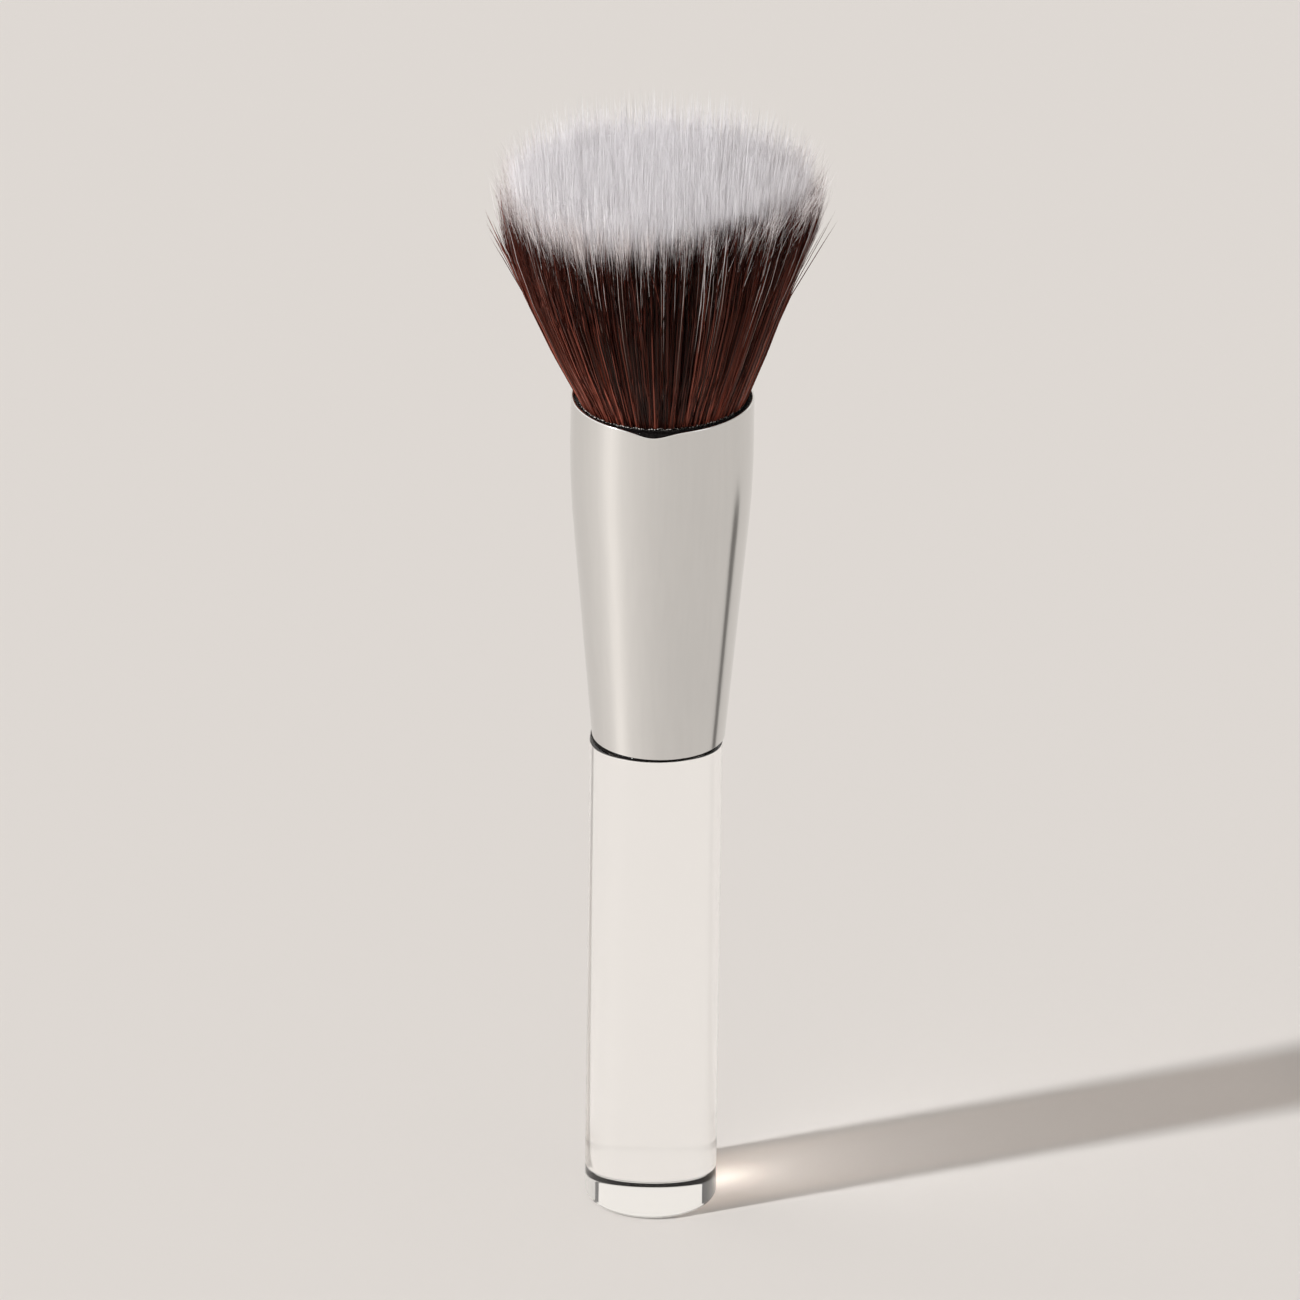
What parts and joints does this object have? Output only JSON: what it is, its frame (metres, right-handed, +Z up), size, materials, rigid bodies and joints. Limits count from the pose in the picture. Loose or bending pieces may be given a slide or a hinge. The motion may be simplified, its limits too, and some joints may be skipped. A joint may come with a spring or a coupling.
{
  "type": "stippling brush",
  "caption": "Face brush with a clear rod handle, a flared thin metal ferrule and a wide, flat-topped head of short brown and longer white fibres.",
  "frame": {"origin": "on the ground, on the axis of the ferrule and the fibre head", "axes": "+Z up along the handle, from the flat end it stands on towards the fibre tips; -Y faces the viewer, where the rim dips"},
  "size_m": [0.0474, 0.0474, 0.1616],
  "materials": {
    "clear_acrylic": "clear cast acrylic, polished all over",
    "drawn_aluminium": "drawn tube, satin to polished, with fine lines along its length",
    "dark_adhesive": "black epoxy, glossy where it shows",
    "brown_fibre": "fine dark brown synthetic filaments",
    "white_fibre": "fine soft white synthetic filaments"
  },
  "bodies": {
    "root": {"handle": "clear_acrylic", "ferrule": "drawn_aluminium", "handle_glue": "dark_adhesive", "root_glue": "dark_adhesive", "dark_fibres": "brown_fibre", "white_fibres": "white_fibre"}
  },
  "joints": []
}
